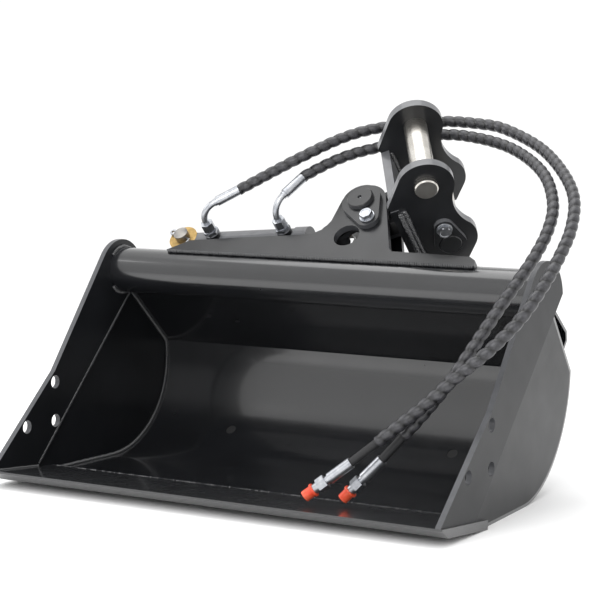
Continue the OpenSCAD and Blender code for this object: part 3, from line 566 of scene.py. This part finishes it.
def roll_profile(inset):
    """The shell's inner line as (back, up): floor, roll, then the flat up to the tube."""
    r = ROLL_R - inset
    normal = Vector((math.cos(LEAN), math.sin(LEAN)))
    centre = Vector((ROLL_BACK, ROLL_UP))
    tube = Vector(TUBE_AT)
    to_flat = (tube - centre).dot(normal) - 2 - inset
    last = math.degrees(LEAN) - math.degrees(math.acos(to_flat / r))
    points = [(b, -EDGE_LIFT + inset) for b in range(154, 300, 12)]
    steps = 40
    for k in range(steps + 1):
        a = math.radians(-90 + (last + 90) * k / steps)
        points.append((centre.x + r * math.cos(a), centre.y + r * math.sin(a)))
    start = Vector(points[-1])
    along = Vector((-normal.y, normal.x))
    length = (tube - start).dot(along) - TUBE_R
    points += [tuple(start + along * length * k / 12) for k in range(1, 13)]
    return points


def seam_points(low, high, steps=8):
    return [low.lerp(high, k / steps) for k in range(steps + 1)]


class BUCKET_PG_looks(bpy.types.PropertyGroup):
    """Sizes and colours of the finish."""

    paint_hex: bpy.props.StringProperty(
        name="Paint", description="Colour of the gloss paint, as sRGB hex", default="#141517",
    )
    pin_hex: bpy.props.StringProperty(
        name="Pins", description="Colour of the bare ear pins, as sRGB hex", default="#d6d3cd",
    )
    bead_width: bpy.props.FloatProperty(
        name="Bead width", description="Width of the weld beads",
        default=0.0055, min=0.002, max=0.012, unit="LENGTH",
    )
    guard_pitch: bpy.props.FloatProperty(
        name="Guard pitch", description="Distance from turn to turn of the spiral guards",
        default=0.0185, min=0.01, max=0.03, unit="LENGTH",
    )
    guard_groove: bpy.props.FloatProperty(
        name="Guard groove", description="Depth of the groove between the guard's turns",
        default=0.0023, min=0.0, max=0.003, unit="LENGTH",
    )
    guard_width: bpy.props.FloatProperty(
        name="Guard diameter", description="Outside diameter of the spiral guards",
        default=0.019, min=0.016, max=0.022, unit="LENGTH",
    )


class BUCKET_OT_stage(bpy.types.Operator):
    """Pale floor, soft lights and the camera"""

    bl_idname = "bucket.stage"
    bl_label = "Stage"

    def execute(self, context):
        scene = context.scene
        lens = bpy.data.cameras.new("camera")
        lens.lens = 118.28
        lens.sensor_width = 36
        lens.clip_end = 50
        camera = link(bpy.data.objects.new("camera", lens))
        camera.location = (1.6084, -2.6713, 0.6411)
        camera.rotation_euler = (math.radians(90 - 6.364), 0, math.radians(31.14))
        scene.camera = camera

        bm = bmesh.new()
        bmesh.ops.create_grid(bm, x_segments=1, y_segments=1, size=9)
        floor = link(bpy.data.objects.new("floor", bpy.data.meshes.new("floor")))
        bm.to_mesh(floor.data)
        bm.free()
        # Seamless white studio paper: matt, nearly white
        mat, nodes, shader = new_material("studio_paper")
        shader.inputs["Base Color"].default_value = linear("#fdfdfd")
        shader.inputs["Roughness"].default_value = 0.9
        shader.inputs["Specular IOR Level"].default_value = 0.1
        floor.data.materials.append(mat)

        world = bpy.data.worlds.new("studio")
        world.use_nodes = True
        world.node_tree.nodes["Background"].inputs["Color"].default_value = (1, 1, 1, 1)
        world.node_tree.nodes["Background"].inputs["Strength"].default_value = 1.06
        scene.world = world
        scene.view_settings.view_transform = "Standard"

        lights = [
            ("front_box", (0.4, -2.6, 1.9), (0, 0, 0.2), 2.2, 38),
            ("top_box", (-0.3, 0.2, 2.4), (0, 0.05, 0.3), 1.9, 22),
            ("right_box", (2.6, 0.2, 1.1), (0.4, 0, 0.2), 1.8, 5),
            ("left_box", (-2.4, -0.8, 1.5), (0, 0, 0.3), 1.4, 16),
        ]
        for name, place, aim, size, power in lights:
            light = bpy.data.lights.new(name, "AREA")
            light.size = size
            light.energy = power
            lamp = link(bpy.data.objects.new(name, light))
            lamp.location = place
            lamp.rotation_euler = (Vector(aim) - Vector(place)).to_track_quat("-Z", "Y").to_euler()
        return {"FINISHED"}


class BUCKET_OT_finishes(bpy.types.Operator):
    """Gives each carried-over part its real finish"""

    bl_idname = "bucket.finishes"
    bl_label = "Finishes"

    def execute(self, context):
        for name, nodes in FINISH_NODES.items():
            for node in nodes:
                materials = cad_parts[node].data.materials
                materials.clear()
                materials.append(finish(name))
        return {"FINISHED"}


class BUCKET_OT_shell_seams(bpy.types.Operator):
    """Weld beads inside the shell"""

    bl_idname = "bucket.shell_seams"
    bl_label = "Shell seams"

    def execute(self, context):
        width = context.scene.bucket_looks.bead_width
        for side, name in ((-1, "left"), (1, "right")):
            inner = WIDTH / 2 - STRIP_T
            strip = seam_points(
                shell(side * (inner + 0.2), WELD_LOW.x + 4, WELD_LOW.y + 4),
                shell(side * (inner + 0.2), WELD_HIGH.x - 10, WELD_HIGH.y - 10),
            )
            weld(name + "_strip_bead", [strip], width, "bucket")
            profile = roll_profile(SHEET_T + 1.2)
            curve = [shell(side * (side_x(b, u, SHEET_T) - 1.2), b, u) for b, u in profile]
            weld(name + "_curve_bead", [curve], width * 1.35, "bucket", 0.003)
            foot = seam_points(
                shell(side * (inner - 0.5), 8, -8 * math.tan(BLADE_SLOPE) + 0.5),
                shell(side * (inner - 0.5), WELD_LOW.x, WELD_LOW.y + 0.5),
            )
            weld(name + "_strip_foot_bead", [foot], width * 0.8, "bucket")
            outer = seam_points(
                shell(side * (WIDTH / 2 - STRIP_STEP - 0.3), WELD_LOW.x + 6, WELD_LOW.y + 6),
                shell(side * (WIDTH / 2 - STRIP_STEP - 0.3), WELD_HIGH.x - 20, WELD_HIGH.y - 20),
            )
            weld(name + "_outer_strip_bead", [outer], width * 0.6, "bucket", 0.002)
        return {"FINISHED"}


class BUCKET_OT_blade_seam(bpy.types.Operator):
    """The bead between the blade and the floor"""

    bl_idname = "bucket.blade_seam"
    bl_label = "Blade seam"

    def execute(self, context):
        up = -BLADE_DEPTH * math.sin(BLADE_SLOPE)
        half = WIDTH / 2 - STRIP_T - 4
        back = BLADE_REAR + 2.5
        run = seam_points(shell(-half, back, up - 3.5), shell(half, back, up - 3.5), 30)
        weld("blade_seam_bead", [run], 0.009, "bucket", 0.0034)
        return {"FINISHED"}


class BUCKET_OT_tube_seams(bpy.types.Operator):
    """Ring beads at the tube's ends, and the bead under the front tilt plate"""

    bl_idname = "bucket.tube_seams"
    bl_label = "Tube seams"

    def execute(self, context):
        rings = []
        for side in (-1, 1):
            x = side * (WIDTH / 2 - STRIP_T - 1)
            rings.append([
                shell(x, TUBE_AT[0] + (TUBE_R + 1) * math.cos(a), TUBE_AT[1] + (TUBE_R + 1) * math.sin(a))
                for a in [math.radians(-135 + 6 * k) for k in range(46)]
            ])
        weld("tube_end_beads", rings, 0.008, "bucket", 0.0032)
        low = [tilt(x, -PIVOT_HEIGHT + 14.5, 38.2) for x in range(-322, 243, 12)]
        weld("tilt_plate_foot_bead", [low], 0.006, "bucket", 0.003)
        return {"FINISHED"}


class BUCKET_OT_head_seams(bpy.types.Operator):
    """Heavy beads where the ears stand on the base plate"""

    bl_idname = "bucket.head_seams"
    bl_label = "Head seams"

    def execute(self, context):
        runs = []
        for side in (-1, 1):
            for x, y in ((82.5, 66), (86.5, 64.8), (81.8, 71), (65.5, 65.5)):
                runs.append([head(side * x, y, z) for z in range(-72, 70, 6)])
        weld("ear_foot_beads", runs, 0.0095, "head", 0.0036)
        return {"FINISHED"}


def flanged_bolt():
    """An M12 hexagon bolt's head on its washer, with chamfered corners and a dished top."""
    bm = bmesh.new()
    profile = [(0, 12.4), (0.4, 12.8), (2.1, 12.8), (2.5, 12.4)]
    washer = lathe(profile, (0, 0, 0), (0, 0, 1), 36)
    mesh = mesh_of(washer, "washer")
    bm.from_mesh(mesh)
    bpy.data.meshes.remove(mesh)
    levels = [(2.4, 0, 0), (3.0, 0, 0), (9.4, 0, 0.1), (10.4, 0, 1.0)]
    across = 9.5
    rings = []
    for z, _, cut in levels:
        ring = []
        for k in range(48):
            a = 2 * math.pi * k / 48
            flat = across / math.cos((a + math.pi / 6) % (math.pi / 3) - math.pi / 6)
            r = min(flat, 10.9 - cut) if cut else flat
            ring.append(bm.verts.new(Vector((r * math.cos(a), r * math.sin(a), z)) / 1000))
        rings.append(ring)
    for z, r in ((10.4, 7.6), (9.9, 7.0)):
        angles = [2 * math.pi * k / 48 for k in range(48)]
        rings.append([bm.verts.new(Vector((r * math.cos(a), r * math.sin(a), z)) / 1000) for a in angles])
    for low, high in zip(rings, rings[1:]):
        for k in range(48):
            bm.faces.new((low[k], low[(k + 1) % 48], high[(k + 1) % 48], high[k]))
    bm.faces.new(list(reversed(rings[0])))
    bm.faces.new(rings[-1])
    bmesh.ops.recalc_face_normals(bm, faces=bm.faces)
    return mesh_of(bm, "retainer_bolt", 25)


class BUCKET_OT_bolts(bpy.types.Operator):
    """The bolts of the pins' flag plates"""

    bl_idname = "bucket.bolts"
    bl_label = "Retainer bolts"

    def execute(self, context):
        part = link(bpy.data.objects.new("bolt_part", flanged_bolt()))
        front = PLATE_MID + 32 + 12 + 8
        places = [
            ("pivot_retainer_bolt", tilt(27, -37, front), TILT_AXIS, "bucket"),
            ("stick_retainer_bolt", head(-EAR_OUT - 8, EAR_REACH, STICK_PIN_Z - 36), -HEAD_AXIS, "head"),
            ("link_retainer_bolt", head(EAR_OUT + 8, EAR_REACH, LINK_PIN_Z + 36), HEAD_AXIS, "head"),
        ]
        for node, at, axis, body in places:
            seed = bpy.data.meshes.new(node + "_head")
            seed.from_pydata([tuple(at)], [], [])
            bolt = grow(
                node + "_head", seed, tree("scatter", scatter_tree),
                {"Part": part, "Axis": tuple(axis), "Material": finish("zinc")}, body,
            )
            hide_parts(node)
        bpy.data.objects.remove(part)
        return {"FINISHED"}


def smooth_route(points, steps):
    """The curve through points[1:-1], as (place, run number) pairs."""
    pts = [Vector(p) for p in points]
    out = []
    for i in range(len(pts) - 3):
        p0, p1, p2, p3 = pts[i:i + 4]
        for k in range(steps):
            t = k / steps
            out.append((0.5 * (
                2 * p1 + (p2 - p0) * t + (2 * p0 - 5 * p1 + 4 * p2 - p3) * t * t
                + (3 * p1 - p0 - 3 * p2 + p3) * t ** 3
            ), i + t))
    out.append((pts[-2], float(len(pts) - 3)))
    return out


def hose_mesh(name, route, guard_end, ends, looks):
    """A tube along the route: a spiral guard with rounded turns, then the bare hose. The end
    rings stand square to the two directions in ends."""
    sides = 24
    pitch, groove = looks.guard_pitch, looks.guard_groove
    guard_r, bare_r = looks.guard_width / 2, 0.0065
    places = [p for p, _ in route]
    verts, faces, guarded, crown = [], [], [], []
    side = Vector((0, 0, 1))
    gone = 0.0
    for k, (place, run) in enumerate(route):
        if k == 0:
            ahead = ends[0]
        elif k == len(places) - 1:
            ahead = ends[1]
        else:
            ahead = (places[k + 1] - places[k - 1]).normalized()
        side = (side - side.dot(ahead) * ahead).normalized()
        other = ahead.cross(side)
        if k:
            gone += (place - places[k - 1]).length
        on = run < guard_end
        for j in range(sides):
            a = 2 * math.pi * j / sides
            if on:
                turn = (gone / pitch - j / sides) % 1.0
                swell = math.sin(math.pi * turn) ** 0.5 if 0 < turn < 1 else 0.0
                r = guard_r - groove * (1 - swell)
            else:
                swell, r = 0.0, bare_r
            verts.append(place + r * (math.cos(a) * side + math.sin(a) * other))
            guarded.append(1.0 if on else 0.0)
            crown.append(swell)
    rings = len(route)
    for k in range(rings - 1):
        for j in range(sides):
            a, b = k * sides + j, k * sides + (j + 1) % sides
            faces.append((a, b, b + sides, a + sides))
    faces.append(tuple(reversed(range(sides))))
    faces.append(tuple(range((rings - 1) * sides, rings * sides)))
    mesh = bpy.data.meshes.new(name)
    mesh.from_pydata([tuple(v) for v in verts], [], faces)
    for label, values in (("guarded", guarded), ("crown", crown)):
        layer = mesh.attributes.new(label, "FLOAT", "POINT")
        layer.data.foreach_set("value", values)
    for face in mesh.polygons:
        face.use_smooth = True
    mesh.set_sharp_from_angle(angle=math.radians(60))
    return mesh, places


class BUCKET_OT_hoses(bpy.types.Operator):
    """Two hydraulic hoses in spiral guards, from the cylinder's ports to their capped ends"""

    bl_idname = "bucket.hoses"
    bl_label = "Hoses"

    def execute(self, context):
        looks = context.scene.bucket_looks
        for i, (name, route, free, guard_end) in enumerate((
            ("hose_a", ROUTE_A, FREE_A, 16.6), ("hose_b", ROUTE_B, FREE_B, 12.6),
        )):
            tip = port_point(i, FERRULE_L)
            back = tip - 0.05 * (tip - port_point(i, 0)).normalized()
            ends = [Vector(p) / 1000 for p in free]
            onward = ends[0] + 0.05 * (ends[1] - ends[0]).normalized()
            points = [back, tip] + [Vector(p) / 1000 for p in route] + [ends[0], onward]
            square = ((points[1] - points[0]).normalized(), (points[-1] - points[-2]).normalized())
            curve = smooth_route(points, 44)
            mesh, places = hose_mesh(name + "_in_guard", curve, guard_end, square, looks)
            hose = link(bpy.data.objects.new(name + "_in_guard", mesh))
            mesh.materials.append(finish("hose"))
            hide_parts(name)
            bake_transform(hose)
        return {"FINISHED"}


OPERATORS = (
    BUCKET_OT_stage, BUCKET_OT_finishes, BUCKET_OT_hoses, BUCKET_OT_shell_seams, BUCKET_OT_blade_seam,
    BUCKET_OT_tube_seams, BUCKET_OT_head_seams, BUCKET_OT_bolts,
)


class BUCKET_PT_panel(bpy.types.Panel):
    """Lists the pieces of the bucket"""

    bl_label = "Bucket"
    bl_idname = "BUCKET_PT_panel"
    bl_space_type = "VIEW_3D"
    bl_region_type = "UI"
    bl_category = "Bucket"

    def draw(self, context):
        for key in BUCKET_PG_looks.__annotations__:
            self.layout.prop(context.scene.bucket_looks, key)
        for operator in OPERATORS:
            self.layout.operator(operator.bl_idname)


CLASSES = (BUCKET_PG_looks,) + OPERATORS + (BUCKET_PT_panel,)


def register():
    for item in CLASSES:
        bpy.utils.register_class(item)
    bpy.types.Scene.bucket_looks = bpy.props.PointerProperty(type=BUCKET_PG_looks)


def unregister():
    del bpy.types.Scene.bucket_looks
    for item in reversed(CLASSES):
        bpy.utils.unregister_class(item)


def main():
    register()
    for operator in OPERATORS:
        group, name = operator.bl_idname.split(".")
        getattr(getattr(bpy.ops, group), name)()


if __name__ == "__main__":
    main()
